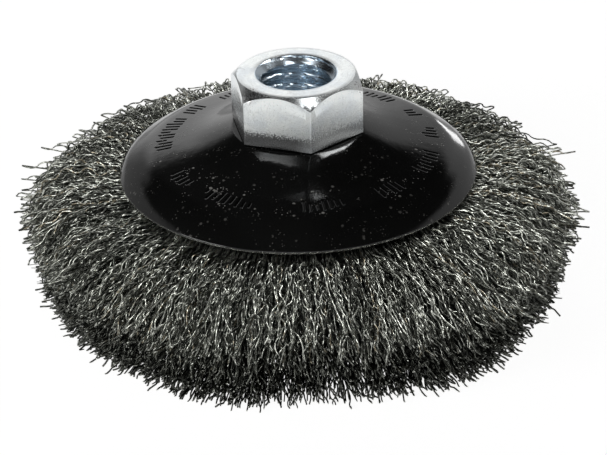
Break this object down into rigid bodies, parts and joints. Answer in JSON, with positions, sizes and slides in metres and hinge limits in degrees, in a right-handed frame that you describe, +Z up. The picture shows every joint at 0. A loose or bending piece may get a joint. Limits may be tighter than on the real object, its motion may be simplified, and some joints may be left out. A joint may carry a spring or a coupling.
{
  "type": "conical wire brush",
  "caption": "Conical wire brush for an angle grinder: threaded hex nut, dished steel cup and a flared skirt of crimped steel wire.",
  "frame": {"origin": "centre of the ring of wire tips that the brush stands on", "axes": "+Z up along the spindle axis, from the wire tips to the nut; -Y is the front; one corner of the nut is 10.8 degrees to the +X side of the front"},
  "size_m": [0.113, 0.113, 0.0435],
  "materials": {
    "nut_zinc": "bright zinc plate, satin with fine machining marks",
    "cup_black": "glossy black enamel on pressed steel",
    "plate_black": "black enamel, a little duller than the cup",
    "ring_steel": "plain drawn wire",
    "wire_steel": "dark oiled crimped steel wire with bright glints"
  },
  "bodies": {
    "root": {"spindle_nut": "nut_zinc", "upper_cup": "cup_black", "lower_plate": "plate_black", "anchor_ring": "ring_steel", "wire_hank_01": "wire_steel", "wire_hank_02": "wire_steel", "wire_hank_03": "wire_steel", "wire_hank_04": "wire_steel", "wire_hank_05": "wire_steel", "wire_hank_06": "wire_steel", "wire_hank_07": "wire_steel", "wire_hank_08": "wire_steel", "wire_hank_09": "wire_steel", "wire_hank_10": "wire_steel", "wire_hank_11": "wire_steel", "wire_hank_12": "wire_steel", "wire_hank_13": "wire_steel", "wire_hank_14": "wire_steel", "wire_hank_15": "wire_steel", "wire_hank_16": "wire_steel", "wire_hank_17": "wire_steel", "wire_hank_18": "wire_steel", "wire_hank_19": "wire_steel", "wire_hank_20": "wire_steel", "wire_hank_21": "wire_steel", "wire_hank_22": "wire_steel", "wire_hank_23": "wire_steel", "wire_hank_24": "wire_steel", "wire_hank_25": "wire_steel", "wire_hank_26": "wire_steel", "wire_hank_27": "wire_steel", "wire_hank_28": "wire_steel", "wire_hank_29": "wire_steel", "wire_hank_30": "wire_steel", "wire_hank_31": "wire_steel", "wire_hank_32": "wire_steel", "wire_hank_33": "wire_steel", "wire_hank_34": "wire_steel", "wire_hank_35": "wire_steel", "wire_hank_36": "wire_steel"}
  },
  "joints": []
}
